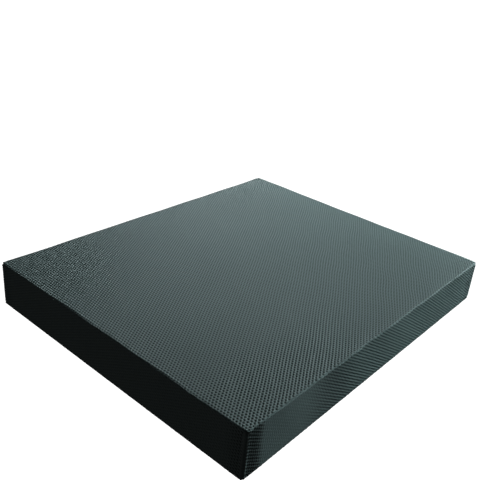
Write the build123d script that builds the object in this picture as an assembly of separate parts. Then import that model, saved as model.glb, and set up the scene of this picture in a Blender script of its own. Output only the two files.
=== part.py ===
from build123d import *
import os

# Balance pad: a block of closed-cell foam, glued up from three sheets, in a sewn
# cover of dimpled non-slip sheet that comes off through a zip along its rear side.
#
# Frame: +X along the long side, +Y to the rear, +Z up, origin at the middle of the base.
# All dimensions are in millimetres.

# ---- driving dimensions ----
PAD_LENGTH = 500
PAD_WIDTH = 410
PAD_HEIGHT = 60
SHEET = 1.2                 # thickness of the cover sheet
CORNER_RADIUS = 3.2         # upright corners, outside
EDGE_RADIUS = 1.5           # top and bottom edges, outside
SEAM_ALLOWANCE = 8          # strip turned in along every seam
CORE_SHEETS = 3             # foam sheets glued into the core
CORE_EDGE_CHAMFER = 2.0     # leaves room for the seam threads
THREAD = 0.6                # thickness of the sewing thread
THREAD_GAP = 0.2            # between a seam's thread and the folded sheet
THREAD_BEND = 1.5           # bend of the seam threads at the corners
STITCH_MARGIN = 2.5         # from the zip's slot to the row of topstitching

ZIP_HEIGHT = PAD_HEIGHT / 2     # centre line of the zip above the base
ZIP_SLOT_HALF = 6.5             # half of the slot between the two rear strips
ZIP_SLOT_END = 238              # the slot runs from -ZIP_SLOT_END to +ZIP_SLOT_END
ZIP_HEM = 10                    # edge of each rear strip, folded in along the slot
TAPE_THICKNESS = 0.6
TAPE_OUTER = 16                 # outer edge of each tape, from the centre line
TAPE_INNER = 1.0                # inner edge, which leaves room for the slider's wedge
TAPE_END = 240
TOOTH_PITCH = 2.4
TOOTH_WIDTH = 1.1
TOOTH_REACH = 0.5               # how far a tooth passes the centre line
TOOTH_ROOT = 0.6                # how far behind the centre line a gap between teeth ends
CHAIN_HALF = 3.0                # half the width of the closed chain
CHAIN_DEPTH = 2.0
CHAIN_PARTING = 1.4             # how far each row moves out to pass the wedge

SLIDER_TRAVEL_HALF = 222        # the slider's centre runs between plus and minus this
SLIDER_BACK = 6.5
SLIDER_FRONT = 6.0
SLIDER_NARROW = 4.2             # half width where the closed chain comes out
SLIDER_WIDE = 5.6               # half width where the two rows go in
SLIDER_PLATE = 1.2              # thickness of the plate that shows
SLIDER_TAPER = (-3.5, 1.0)      # where its sides run from narrow to wide
SLIDER_PLATE_INNER = 1.0        # thickness of the plate behind the tapes
SLIDER_LIP = 1.1                # thickness of the lips that hold the chain in
SLIDER_LIP_SHORT = 1.0          # the lips end this far inside the plates
WEDGE_HALF = 0.8
WEDGE_SPAN = (1.7, 5.0)
FUSE = 0.2                      # how far pieces of one casting run into each other
RUNNING_GAP = 0.3               # between the slider and what it runs along
STOP_LENGTH = 2.5
STOP_GAP = 0.5
STOP_BEVEL = 0.4

BAIL_HALF_LENGTH = 2.6
BAIL_HALF_WIDTH = 1.2
BAIL_HEIGHT = 3.0
PIN_HEIGHT = 1.4                # pull's pin above the slider's top plate
PIN_RADIUS = 0.75
PIN_FIT = 0.1
PULL_LENGTH = 26
PULL_WIDTH = 7.2
PULL_THICKNESS = 1.2
PULL_NECK = 3.6                 # from the pin to the inner end of the pull's plate
PULL_ARM_INNER = 1.4
PULL_ARM_OUTER = 2.6
PULL_BOSS_RADIUS = 1.2
PULL_EYE_RADIUS = 1.6

# ---- worked out from them ----
REAR_FACE = PAD_WIDTH / 2
WALL_INSIDE = REAR_FACE - SHEET             # inner face of the rear wall
HEM_INSIDE = WALL_INSIDE - SHEET            # inner face of the folded hem
TAPE_INSIDE = HEM_INSIDE - TAPE_THICKNESS
CHAIN_OUTSIDE = HEM_INSIDE + CHAIN_DEPTH
LOW_PLATE_OUTSIDE = TAPE_INSIDE - RUNNING_GAP
LOW_PLATE_INSIDE = LOW_PLATE_OUTSIDE - SLIDER_PLATE_INNER
TOP_PLATE_INSIDE = CHAIN_OUTSIDE + RUNNING_GAP
TOP_PLATE_OUTSIDE = TOP_PLATE_INSIDE + SLIDER_PLATE
SLIDER_CHANNEL = LOW_PLATE_INSIDE - RUNNING_GAP     # bottom of the channel in the foam
PIN_Y = TOP_PLATE_OUTSIDE + PIN_HEIGHT
STOP_OUTSIDE = CHAIN_OUTSIDE + 0.3
CHAIN_START = -SLIDER_TRAVEL_HALF - SLIDER_BACK - STOP_GAP
CHAIN_END = SLIDER_TRAVEL_HALF + SLIDER_FRONT + STOP_GAP
PARTING_START = SLIDER_TRAVEL_HALF - 3.0    # where the rows begin to move apart
PARTING_END = SLIDER_TRAVEL_HALF + 1.5
TURNED_IN = SHEET + SEAM_ALLOWANCE          # from the outside to the end of a turned-in strip


def block_between(x_range, y_range, z_range):
    """A box given by its lowest and highest x, y and z."""
    sizes = [high - low for low, high in (x_range, y_range, z_range)]
    middles = [(high + low) / 2 for low, high in (x_range, y_range, z_range)]
    return Pos(*middles) * Box(*sizes)


def rounded_block(inset):
    """The pad's outer form, moved in by `inset` on every side."""
    length = PAD_LENGTH - 2 * inset
    width = PAD_WIDTH - 2 * inset
    outline = RectangleRounded(length, width, CORNER_RADIUS - inset)
    block = extrude(Pos(0, 0, inset) * outline, PAD_HEIGHT - 2 * inset)
    edge_radius = EDGE_RADIUS - inset
    if edge_radius > 0.5:
        ends = block.faces().filter_by(Axis.Z)
        block = fillet(ends.edges(), edge_radius)
    return block


def upright_prism(points, z_range):
    """A prism that stands on a polygon of (x, y) points."""
    face = make_face(Polyline(*points, close=True))
    return extrude(Pos(0, 0, z_range[0]) * face, z_range[1] - z_range[0])


def wall_prism(points, y_range):
    """A prism along Y on a polygon of (x, z) points, for the pieces of the zip."""
    face = Plane.XZ * make_face(Polyline(*points, close=True))
    return Pos(0, y_range[1], 0) * extrude(face, y_range[1] - y_range[0])


# ---- cover ----

def single_layer_fields():
    """The fields inside the seam allowances, where the cover is one layer thick and
    its inner face lies further out: through the length, the width and the height."""
    far = PAD_LENGTH
    x_span = (TURNED_IN - PAD_LENGTH / 2, PAD_LENGTH / 2 - TURNED_IN)
    y_span = (TURNED_IN - PAD_WIDTH / 2, PAD_WIDTH / 2 - TURNED_IN)
    z_span = (TURNED_IN, PAD_HEIGHT - TURNED_IN)
    windows = [
        block_between((-far, far), y_span, z_span),
        block_between(x_span, (-far, far), z_span),
        block_between(x_span, y_span, (-far, far)),
    ]
    inner = rounded_block(SHEET)
    return [inner & window for window in windows]


def cover_cavity():
    """The space inside the cover."""
    return rounded_block(2 * SHEET) + single_layer_fields()


def panel_zone(z_edge, direction):
    """The part of the cover that belongs to the top or the base panel: it meets the
    side panels at 45 degrees, from the pad's sharp outer edge inwards."""
    depth = 2 * SHEET
    outside = Pos(0, 0, z_edge) * RectangleRounded(PAD_LENGTH, PAD_WIDTH, CORNER_RADIUS)
    inner_size = (PAD_LENGTH - 2 * depth, PAD_WIDTH - 2 * depth)
    inside = RectangleRounded(*inner_size, CORNER_RADIUS - depth)
    return loft([outside, Pos(0, 0, z_edge - direction * depth) * inside], ruled=True)


def side_zone(along_x, sign):
    """The part of the side band that belongs to one side panel, mitred at its corners."""
    half_length = PAD_LENGTH / 2 + 1
    half_width = PAD_WIDTH / 2 + 1
    reach = 20
    if along_x:
        outer, across = half_length, half_width
    else:
        outer, across = half_width, half_length
    points = [
        (-outer, sign * across),
        (outer, sign * across),
        (outer - reach, sign * (across - reach)),
        (-outer + reach, sign * (across - reach)),
    ]
    if not along_x:
        points = [(y, x) for x, y in points]
    return upright_prism(points, (-1, PAD_HEIGHT + 1))


def zip_slot():
    """The slot through the rear wall in which the zip lies."""
    return block_between(
        (-ZIP_SLOT_END, ZIP_SLOT_END),
        (HEM_INSIDE, REAR_FACE + 1),
        (ZIP_HEIGHT - ZIP_SLOT_HALF, ZIP_HEIGHT + ZIP_SLOT_HALF),
    )


def stitch_line(side, proud=0.0):
    """One row of topstitching beside the zip, as the channel that its thread lies in."""
    row = ZIP_HEIGHT + side * (ZIP_SLOT_HALF + STITCH_MARGIN)
    return block_between(
        (-ZIP_SLOT_END, ZIP_SLOT_END),
        (REAR_FACE - THREAD, REAR_FACE + proud),
        (row - THREAD / 2, row + THREAD / 2),
    )


def rear_strip(rear_wall, side):
    """Upper (+1) or lower (-1) half of the rear wall, its edge folded in at the slot."""
    near = ZIP_HEIGHT + side * ZIP_SLOT_HALF
    far = near + side * ZIP_HEM
    hem = block_between(
        (-ZIP_SLOT_END, ZIP_SLOT_END), (HEM_INSIDE, WALL_INSIDE), sorted((near, far))
    )
    half = sorted((ZIP_HEIGHT, ZIP_HEIGHT + side * PAD_HEIGHT))
    half_space = block_between((-PAD_LENGTH, PAD_LENGTH), (0, PAD_WIDTH), half)
    strip = (rear_wall & half_space) + hem
    return strip - zip_slot() - stitch_line(side, proud=1.0)


# ---- threads ----

def seam_thread(z_edge, direction):
    """The thread that closes the seam round the top or the base, just inside it."""
    inset = 2 * SHEET + THREAD / 2 + THREAD_GAP
    size = (PAD_LENGTH - 2 * inset, PAD_WIDTH - 2 * inset)
    ring = RectangleRounded(*size, THREAD_BEND)
    path = Pos(0, 0, z_edge - direction * inset) * ring.wire()
    start = Plane(origin=path @ 0, z_dir=path % 0)
    return sweep(start * Circle(THREAD / 2), path=path)


def corner_threads():
    """The threads of the four upright corner seams, in the bend of the folded sheet."""
    from_bend = CORNER_RADIUS - 2 * SHEET - THREAD / 2 - THREAD_GAP
    inset = CORNER_RADIUS - from_bend / 2 ** 0.5
    height = PAD_HEIGHT - 2 * (3 * SHEET + THREAD)
    places = GridLocations(PAD_LENGTH - 2 * inset, PAD_WIDTH - 2 * inset, 2, 2)
    rod = Pos(0, 0, PAD_HEIGHT / 2) * Cylinder(THREAD / 2, height)
    return Compound(children=[place * rod for place in places])


# ---- foam core ----

def core_block():
    """The whole core: it fills the cover, with its edges eased and with room for the
    zip's tapes and slider."""
    inset = 2 * SHEET
    sizes = (PAD_LENGTH - 2 * inset, PAD_WIDTH - 2 * inset, PAD_HEIGHT - 2 * inset)
    block = Pos(0, 0, PAD_HEIGHT / 2) * Box(*sizes)
    block = fillet(block.edges().filter_by(Axis.Z), CORNER_RADIUS)
    ends = block.faces().filter_by(Axis.Z)
    block = chamfer(ends.edges(), CORE_EDGE_CHAMFER)
    hem_end = ZIP_SLOT_HALF + ZIP_HEM
    tape_room = block_between(
        (-TAPE_END, TAPE_END),
        (TAPE_INSIDE, REAR_FACE),
        (ZIP_HEIGHT - hem_end, ZIP_HEIGHT + hem_end),
    )
    slider_room = block_between(
        (-ZIP_SLOT_END, ZIP_SLOT_END),
        (SLIDER_CHANNEL, REAR_FACE),
        (ZIP_HEIGHT - ZIP_SLOT_HALF, ZIP_HEIGHT + ZIP_SLOT_HALF),
    )
    return block + single_layer_fields() - tape_room - slider_room


def core_sheets():
    """The core cut into its glued sheets, lowest first."""
    block = core_block()
    inside_height = PAD_HEIGHT - 2 * SHEET
    thickness = inside_height / CORE_SHEETS
    reach = PAD_LENGTH
    sheets = []
    for number in range(CORE_SHEETS):
        low = SHEET + number * thickness
        slab = block_between((-reach, reach), (-reach, reach), (low, low + thickness))
        sheets.append(block & slab)
    return sheets


# ---- zip ----

def zip_tape(side):
    """The woven tape on one side of the zip."""
    heights = sorted((ZIP_HEIGHT + side * TAPE_INNER, ZIP_HEIGHT + side * TAPE_OUTER))
    return block_between((-TAPE_END, TAPE_END), (TAPE_INSIDE, HEM_INSIDE), heights)


def chain_offset(x):
    """How far one row of teeth lies from the closed position, at x along the zip."""
    share = (x - PARTING_START) / (PARTING_END - PARTING_START)
    return CHAIN_PARTING * min(max(share, 0), 1)


def chain_row(side):
    """One row of the zip's teeth, in mesh with the other as far as the slider's wedge."""
    phase = 0 if side > 0 else TOOTH_PITCH / 2

    def edge_point(x, from_centre):
        return (x, ZIP_HEIGHT + side * (from_centre + chain_offset(x)))

    teeth = []
    for number in range(int((CHAIN_END - CHAIN_START) / TOOTH_PITCH)):
        begin = CHAIN_START + phase + number * TOOTH_PITCH
        end = begin + TOOTH_WIDTH
        teeth.append(edge_point(begin, TOOTH_ROOT))
        teeth.append(edge_point(begin, -TOOTH_REACH))
        teeth.append(edge_point(end, -TOOTH_REACH))
        teeth.append(edge_point(end, TOOTH_ROOT))
    first, last = teeth[0][0], teeth[-1][0]
    back = [edge_point(x, CHAIN_HALF) for x in (last, PARTING_END, PARTING_START, first)]
    return wall_prism(teeth + back, (HEM_INSIDE, CHAIN_OUTSIDE))


def slider_side(margin, shortened):
    """One side of the slider's outline, as (distance forward, distance from its middle)."""
    narrow = SLIDER_NARROW - margin
    wide = SLIDER_WIDE - margin
    taper_start, taper_end = SLIDER_TAPER
    return [
        (shortened - SLIDER_BACK, narrow),
        (taper_start, narrow),
        (taper_end, wide),
        (SLIDER_FRONT - shortened, wide),
    ]


def slider_plate(y_range):
    """One of the slider's two plates, with its corners eased."""
    half = slider_side(0, 0)
    points = half + [(x, -z) for x, z in reversed(half)]
    plate = wall_prism(points, y_range)
    return fillet(plate.edges().filter_by(Axis.Y), 0.8)


def slider_lip(side):
    """The edge of the outer plate that reaches in to the tape and holds the chain."""
    outer = slider_side(0, SLIDER_LIP_SHORT)
    inner = slider_side(SLIDER_LIP, SLIDER_LIP_SHORT)
    points = [(x, side * z) for x, z in outer + inner[::-1]]
    return wall_prism(points, (HEM_INSIDE + RUNNING_GAP, TOP_PLATE_INSIDE + FUSE))


def slider_wedge():
    """The post between the plates, pointed to the rear, that parts the two rows."""
    start, end = WEDGE_SPAN
    nose = start + WEDGE_HALF / 2
    half = [(start, WEDGE_HALF / 2), (nose, WEDGE_HALF), (end, WEDGE_HALF)]
    points = half + [(x, -z) for x, z in reversed(half)]
    return wall_prism(points, (LOW_PLATE_OUTSIDE - FUSE, TOP_PLATE_INSIDE + FUSE))


def slider_bail():
    """The arch on the slider that holds the pull's pin."""
    sizes = (2 * BAIL_HALF_LENGTH, BAIL_HEIGHT + FUSE, 2 * BAIL_HALF_WIDTH)
    arch = Pos(0, TOP_PLATE_OUTSIDE + (BAIL_HEIGHT - FUSE) / 2, 0) * Box(*sizes)
    crown = arch.faces().sort_by(Axis.Y)[-1].edges().filter_by(Axis.Z)
    arch = fillet(crown, 1.2)
    hole = Pos(0, PIN_Y, 0) * Cylinder(PIN_RADIUS + PIN_FIT, PULL_WIDTH)
    return arch - hole


def zip_slider():
    """Slider: two plates, the wedge that joins them, two lips and the bail."""
    slider = slider_plate((LOW_PLATE_INSIDE, LOW_PLATE_OUTSIDE))
    slider += slider_plate((TOP_PLATE_INSIDE, TOP_PLATE_OUTSIDE))
    slider += slider_wedge()
    slider += slider_lip(1)
    slider += slider_lip(-1)
    slider += slider_bail()
    return Pos(SLIDER_TRAVEL_HALF, 0, ZIP_HEIGHT) * slider


def zip_pull():
    """Pull: a plate with two arms and the pin that turns in the slider's bail."""
    thickness = (PIN_Y - PULL_THICKNESS / 2, PIN_Y + PULL_THICKNESS / 2)
    plate = block_between(
        (-PULL_LENGTH, -PULL_NECK), thickness, (-PULL_WIDTH / 2, PULL_WIDTH / 2)
    )
    plate = fillet(plate.edges().filter_by(Axis.Y).group_by(Axis.X)[0], PULL_WIDTH / 3)
    plate = fillet(plate.edges().filter_by(Axis.Y).group_by(Axis.X)[-1], 0.8)
    eye_place = Pos(2 * PULL_WIDTH / 3 - PULL_LENGTH, PIN_Y, 0) * Rot(X=90)
    pull = plate - eye_place * Cylinder(PULL_EYE_RADIUS, 3 * PULL_THICKNESS)
    for side in (-1, 1):
        span = sorted((side * PULL_ARM_INNER, side * PULL_ARM_OUTER))
        arm = block_between((-PULL_NECK - FUSE, 0), thickness, span)
        boss = Cylinder(PULL_BOSS_RADIUS, span[1] - span[0])
        pull = pull + arm + Pos(0, PIN_Y, sum(span) / 2) * boss
    pull += Pos(0, PIN_Y, 0) * Cylinder(PIN_RADIUS, 2 * PULL_ARM_OUTER)
    return Pos(SLIDER_TRAVEL_HALF, 0, ZIP_HEIGHT) * pull


def top_stops():
    """The two stops at the closed end, one on each row of teeth."""
    stops = []
    for side in (-1, 1):
        near = ZIP_HEIGHT + side * (CHAIN_PARTING - FUSE)
        far = ZIP_HEIGHT + side * (CHAIN_PARTING + CHAIN_HALF)
        stop = block_between(
            (CHAIN_END, CHAIN_END + STOP_LENGTH), (HEM_INSIDE, STOP_OUTSIDE), sorted((near, far))
        )
        stops.append(chamfer(stop.faces().sort_by(Axis.Y)[-1].edges(), STOP_BEVEL))
    return Compound(children=stops)


def bottom_stop():
    """The stop at the open end, which holds the two tapes together."""
    half = CHAIN_HALF + STOP_BEVEL
    stop = block_between(
        (CHAIN_START - STOP_LENGTH, CHAIN_START),
        (HEM_INSIDE, STOP_OUTSIDE),
        (ZIP_HEIGHT - half, ZIP_HEIGHT + half),
    )
    return chamfer(stop.faces().sort_by(Axis.Y)[-1].edges(), STOP_BEVEL)


# ---- the pieces ----

def cover_pieces():
    """Every panel and strip of the sewn cover."""
    cover = rounded_block(0) - cover_cavity()
    top_zone = panel_zone(PAD_HEIGHT, 1)
    base_zone = panel_zone(0, -1)
    band = cover - top_zone - base_zone
    rear_wall = band & side_zone(True, 1)
    return {
        "top_panel": cover & top_zone,
        "base_panel": cover & base_zone,
        "front_side_panel": band & side_zone(True, -1),
        "left_side_panel": band & side_zone(False, -1),
        "right_side_panel": band & side_zone(False, 1),
        "rear_strip_upper": rear_strip(rear_wall, 1),
        "rear_strip_lower": rear_strip(rear_wall, -1),
    }


def thread_pieces():
    """The threads of every seam."""
    return {
        "top_seam_thread": seam_thread(PAD_HEIGHT, 1),
        "base_seam_thread": seam_thread(0, -1),
        "corner_seam_threads": corner_threads(),
        "zip_topstitch_upper": stitch_line(1),
        "zip_topstitch_lower": stitch_line(-1),
    }


def core_pieces():
    """The three foam sheets."""
    names = ("core_sheet_lower", "core_sheet_middle", "core_sheet_upper")
    return dict(zip(names, core_sheets()))


def zip_pieces():
    """Everything that makes up the zip."""
    return {
        "zip_tape_upper": zip_tape(1),
        "zip_tape_lower": zip_tape(-1),
        "zip_chain_upper": chain_row(1),
        "zip_chain_lower": chain_row(-1),
        "zip_slider": zip_slider(),
        "zip_pull": zip_pull(),
        "zip_top_stops": top_stops(),
        "zip_bottom_stop": bottom_stop(),
    }


os.makedirs("parts", exist_ok=True)
pieces = cover_pieces() | core_pieces() | thread_pieces() | zip_pieces()
for name, piece in pieces.items():
    export_step(piece, f"parts/{name}.step")
print(len(pieces), "nodes written")
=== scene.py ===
import math

import bmesh
import bpy
import numpy as np
from mathutils import Matrix, Vector


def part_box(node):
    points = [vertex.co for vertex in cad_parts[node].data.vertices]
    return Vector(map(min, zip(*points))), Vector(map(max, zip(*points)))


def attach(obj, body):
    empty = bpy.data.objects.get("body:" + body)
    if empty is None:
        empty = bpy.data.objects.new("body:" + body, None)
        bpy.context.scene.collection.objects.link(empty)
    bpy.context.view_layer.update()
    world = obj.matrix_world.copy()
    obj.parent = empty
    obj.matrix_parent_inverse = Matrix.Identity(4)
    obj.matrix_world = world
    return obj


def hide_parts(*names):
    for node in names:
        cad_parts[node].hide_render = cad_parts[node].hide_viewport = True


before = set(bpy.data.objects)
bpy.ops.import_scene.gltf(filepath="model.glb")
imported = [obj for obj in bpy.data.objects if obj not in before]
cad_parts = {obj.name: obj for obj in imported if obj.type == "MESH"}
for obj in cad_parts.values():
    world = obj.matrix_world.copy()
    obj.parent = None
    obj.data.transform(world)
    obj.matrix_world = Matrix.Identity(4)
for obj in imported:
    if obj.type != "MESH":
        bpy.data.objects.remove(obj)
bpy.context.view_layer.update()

MM = 0.001

# ---- sizes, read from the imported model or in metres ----
HALF_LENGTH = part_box("right_side_panel")[1].x
HALF_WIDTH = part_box("rear_strip_upper")[1].y
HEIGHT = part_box("top_panel")[1].z
HALF_SIZES = np.array([HALF_LENGTH, HALF_WIDTH, HEIGHT / 2])
MIDDLE = np.array([0, 0, HEIGHT / 2])
SHEET = 1.2 * MM                    # thickness of the cover sheet
CORNER_RADIUS = 3.2 * MM
EDGE_RADIUS = 1.5 * MM
FLAT_RADIUS = CORNER_RADIUS - EDGE_RADIUS
CENTRE_X = HALF_LENGTH - CORNER_RADIUS      # centres of the upright corners
CENTRE_Y = HALF_WIDTH - CORNER_RADIUS
STRAIGHT = HEIGHT / 2 - EDGE_RADIUS         # flat part of a side, from its middle line
MITRE = math.pi / 4                         # panels meet at 45 degrees

# ---- half sizes of the panels laid flat, as far as their seams ----
CAP_BEND = FLAT_RADIUS + EDGE_RADIUS * MITRE
CAP_HALF_U = CENTRE_X + CAP_BEND
CAP_HALF_V = CENTRE_Y + CAP_BEND
LONG_SIDE_HALF_U = CENTRE_X + CORNER_RADIUS * MITRE
SHORT_SIDE_HALF_U = CENTRE_Y + CORNER_RADIUS * MITRE
SIDE_HALF_V = STRAIGHT + EDGE_RADIUS * MITRE

# ---- the dimpled sheet ----
PIT_SPACING = 3.85 * MM
ROW_SPACING = PIT_SPACING * math.sqrt(3) / 2
PIT_DEPTH = 1.4 * MM
WALL_SHARE = 0.6                    # how deep the points on a pit's wall lie, as a share
BACK_DEPTH = 1.2 * SHEET            # the inner face of a side, just below its pits
# A cell's points are its pit's bottom, three on the wall, and two peaks, in this order.
CELL_POINTS = 6
RIGHT_PEAK = 4
LEFT_PEAK = 5
# turn is how far the rows are out of line with the pad, stray how far they wander, and wall
# where the three points on a pit's wall stand, as degrees and distances from its bottom. The
# top's and base's pits are round. The sides' are drawn out along one of the rows.
CAP_CELLS = {
    "turn": math.radians(1.3),
    "stray": 0.5 * MM,
    "wall": ((60, 1.35 * MM), (180, 1.35 * MM), (300, 1.35 * MM)),
}
SIDE_CELLS = {
    "turn": math.radians(-3),
    "stray": 0,
    "wall": ((60, 1.15 * MM), (156, 1.65 * MM), (324, 1.65 * MM)),
}
STRAY_FADE = (0, 110 * MM)          # the rows wander more and more over this stretch
STRAY_ALONG = ((130 * MM, 58 * MM), 0)      # of shifts along u: lengths over u and v, start
STRAY_UP = ((47 * MM, -95 * MM), 1.0)       # the same of shifts along v
SNAP = 0.08 * MM                    # how near to a cut a point moves onto it
SEAM_DEPTH = 0.3 * MM               # how far a seam draws the sheet in
SEAM_HALF_WIDTH = 0.6 * MM

# ---- how deep the pits are ----
# They come in over a stretch that is measured from a panel's ends, and from its long seams.
CAP_END_FADE = (0, 0.4 * MM)
CAP_ROW_FADE = (0.1 * MM, 0.9 * MM)
SIDE_END_FADE = (2.4 * MM, 4.5 * MM)
SIDE_ROW_FADE = (0.2 * MM, 1.4 * MM)
SLACK_REACH = 20 * MM               # the sheet is slack this near to the ends of a side
SIDE_OPENNESS = 0.8                 # share of the pits' depth where it is pulled tight
TIGHT_OPENNESS = 0.25               # and on the front, toward its left end
FRONT_LOOSENS = (-170 * MM, -30 * MM)

# ---- painted shade and highlights on the sheet ----
# The shades give how dark the pits are painted, as a share of their depth: painted shade.
# The values below them give how pale the peaks between the pits are painted, from 0 to 1
# and over: painted highlights.
CAP_SHADE = 1
REAR_SHADE = 1.7
SHORT_SIDE_SHADE = 0.6
FRONT_SHADE = 1.6
TIGHT_SHADE = 2.6                   # where the front is pulled tight
PEAK_HIGHLIGHT = 0.6
MIDDLE_HIGHLIGHT = 1.5                    # along the middle of the front
FRONT_HIGHLIGHT_FADES = (20 * MM, 170 * MM)
HIGHLIGHT_SHARE = 0.35                 # peaks are where the pits are less than this share deep

# ---- the zip's slot, and the stitches beside it ----
ZIP_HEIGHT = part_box("zip_bottom_stop")[0].z / 2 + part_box("zip_bottom_stop")[1].z / 2
SLOT_HALF = 6.5 * MM
SLOT_CLOSING = (233 * MM, 243 * MM)
FOLD_RADIUS = SHEET
FOLD_ARC = math.pi * FOLD_RADIUS
FOLD_HIDDEN = FOLD_ARC - FOLD_RADIUS        # part of the sheet that lies behind the fold
FOLD_OPENNESS = 0.35                # share of the pits' depth on the fold
STITCH_MARGIN = 2.5 * MM            # from the slot to the row of topstitching
STITCH_HALF_WIDTH = 0.8 * MM
STITCH_SINK = 0.35 * MM
STITCH_FLATTENS = 0.7               # how much of the pits' depth the stitches take away
STITCH_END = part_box("zip_topstitch_upper")[1].x


# ---- curves that several parts use ----

def smooth_step(value, low, high):
    """0 below low, 1 above high, and smooth between."""
    share = np.clip((value - low) / (high - low), 0, 1)
    return share * share * (3 - 2 * share)


def level(value):
    """The same value all along u."""
    return lambda u: np.full_like(u, value)


def slow_wave(u, v, lengths, start):
    """A wave over a plane, by its lengths along u and along v, and where it starts."""
    return np.sin(2 * math.pi * (u / lengths[0] + v / lengths[1]) + start)


# ---- objects and meshes ----

def new_object(name, data):
    """An object in the scene that shows a mesh, a camera or a light."""
    made = bpy.data.objects.new(name, data)
    bpy.context.scene.collection.objects.link(made)
    return made


def mesh_object(name, points, polygons):
    """An object from an array of points and a list of faces. Each item of the list is an
    array with one row of point numbers for each face, and whether the faces look smooth."""
    mesh = bpy.data.meshes.new(name)
    loops = np.concatenate([faces.ravel() for faces, _ in polygons])
    totals = np.concatenate([np.full(len(faces), faces.shape[1]) for faces, _ in polygons])
    smooth_faces = np.concatenate([np.full(len(faces), soft) for faces, soft in polygons])
    starts = np.concatenate([[0], np.cumsum(totals)[:-1]])
    mesh.vertices.add(len(points))
    mesh.loops.add(len(loops))
    mesh.polygons.add(len(totals))
    mesh.vertices.foreach_set("co", np.asarray(points, np.float32).ravel())
    mesh.loops.foreach_set("vertex_index", loops.astype(np.int32))
    mesh.polygons.foreach_set("loop_start", starts.astype(np.int32))
    mesh.polygons.foreach_set("use_smooth", smooth_faces.astype(bool))
    mesh.update(calc_edges=True)
    mesh.validate()
    return new_object(name, mesh)


def finish_piece(piece, material, body, replaced):
    """Gives a piece its material and its body, and hides the CAD nodes that it stands for."""
    piece.data.materials.clear()
    piece.data.materials.append(material)
    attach(piece, body)
    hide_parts(*replaced)


# ---- node helpers ----

NOISE_SPAN = (0.3, 0.7)             # most of a noise's values lie between these
MIX_COLOURS = (6, 7)                # the mix node's sockets for the two colours
MIX_RESULT = 2


def new_material(name, kind="ShaderNodeBsdfPrincipled", result="BSDF"):
    """A material, its node tree, and the one shader in it."""
    material = bpy.data.materials.new(name)
    material.use_nodes = True
    tree = material.node_tree
    tree.nodes.clear()
    out = tree.nodes.new("ShaderNodeOutputMaterial")
    shader = tree.nodes.new(kind)
    tree.links.new(shader.outputs[result], out.inputs["Surface"])
    return material, tree, shader


def add_node(tree, kind, inputs=None, **settings):
    """A node with settings, and input values or links."""
    node = tree.nodes.new(kind)
    for key, value in settings.items():
        setattr(node, key, value)
    for key, value in (inputs or {}).items():
        if isinstance(value, bpy.types.NodeSocket):
            tree.links.new(value, node.inputs[key])
        else:
            node.inputs[key].default_value = value
    return node


def noise(tree, place, scale, detail=3.0, roughness=0.6):
    """A noise value over the surface."""
    inputs = {"Vector": place, "Scale": scale, "Detail": detail, "Roughness": roughness}
    return add_node(tree, "ShaderNodeTexNoise", inputs).outputs["Fac"]


def remap(tree, value, low, high, to_low=0, to_high=1):
    """Maps a value from one range to another, clamped."""
    inputs = {
        "Value": value,
        "From Min": low,
        "From Max": high,
        "To Min": to_low,
        "To Max": to_high,
    }
    return add_node(tree, "ShaderNodeMapRange", inputs).outputs["Result"]


def uneven(tree, place, scale, low, high):
    """A value that varies over the surface, from low to high."""
    return remap(tree, noise(tree, place, scale), *NOISE_SPAN, low, high)


def blend_colour(tree, share, first, second):
    """A colour between two, by a share from 0 to 1."""
    mix = add_node(tree, "ShaderNodeMix", data_type="RGBA")
    tree.links.new(share, mix.inputs["Factor"])
    for key, value in zip(MIX_COLOURS, (first, second)):
        if isinstance(value, bpy.types.NodeSocket):
            tree.links.new(value, mix.inputs[key])
        else:
            mix.inputs[key].default_value = (*value, 1)
    return mix.outputs[MIX_RESULT]


def bump(tree, height, distance, strength=1.0, below=None):
    """A normal from a height, over another normal if one is given."""
    inputs = {"Height": height, "Distance": distance, "Strength": strength}
    if below is not None:
        inputs["Normal"] = below
    return add_node(tree, "ShaderNodeBump", inputs).outputs["Normal"]


def calculate(tree, operation, first, second):
    """The sum or the product of two values."""
    return add_node(tree, "ShaderNodeMath", {0: first, 1: second}, operation=operation).outputs[0]


def point_value(tree, label):
    """A value that the mesh carries at its points."""
    return add_node(tree, "ShaderNodeAttribute", attribute_name=label).outputs["Fac"]


def bands(tree, place, scale, direction):
    """Even bands along one direction."""
    inputs = {"Vector": place, "Scale": scale}
    return add_node(tree, "ShaderNodeTexWave", inputs, bands_direction=direction).outputs["Fac"]


def object_place(tree):
    """Places on the surface, in metres in the model's frame."""
    return tree.nodes.new("ShaderNodeTexCoord").outputs["Object"]


# ---- materials ----
# Noise, cell and band scales are for places in metres.

SHEET_DARK = (0.048, 0.066, 0.065)
SHEET_PALE = (0.060, 0.080, 0.078)
SHEET_SPECKLE = (0.070, 0.090, 0.087)
# painted highlight: the colour that the peaks between the pits are painted
SHEET_PAINTED_HIGHLIGHT = (0.153, 0.202, 0.195)
# painted shade: the colour that the bottoms of the pits are painted
SHEET_PAINTED_SHADE = (0.005, 0.007, 0.007)
FOAM_DARK = (0.07, 0.09, 0.09)
FOAM_PALE = (0.13, 0.155, 0.155)
THREAD_DARK = (0.060, 0.078, 0.078)
THREAD_PALE = (0.150, 0.185, 0.182)
TAPE_DARK = (0.010, 0.013, 0.013)
TAPE_PALE = (0.040, 0.050, 0.050)
NYLON_DARK = (0.014, 0.018, 0.019)
NYLON_PALE = (0.030, 0.038, 0.038)
LACQUER = (0.030, 0.034, 0.036)
WORN_METAL = (0.17, 0.175, 0.18)


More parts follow.
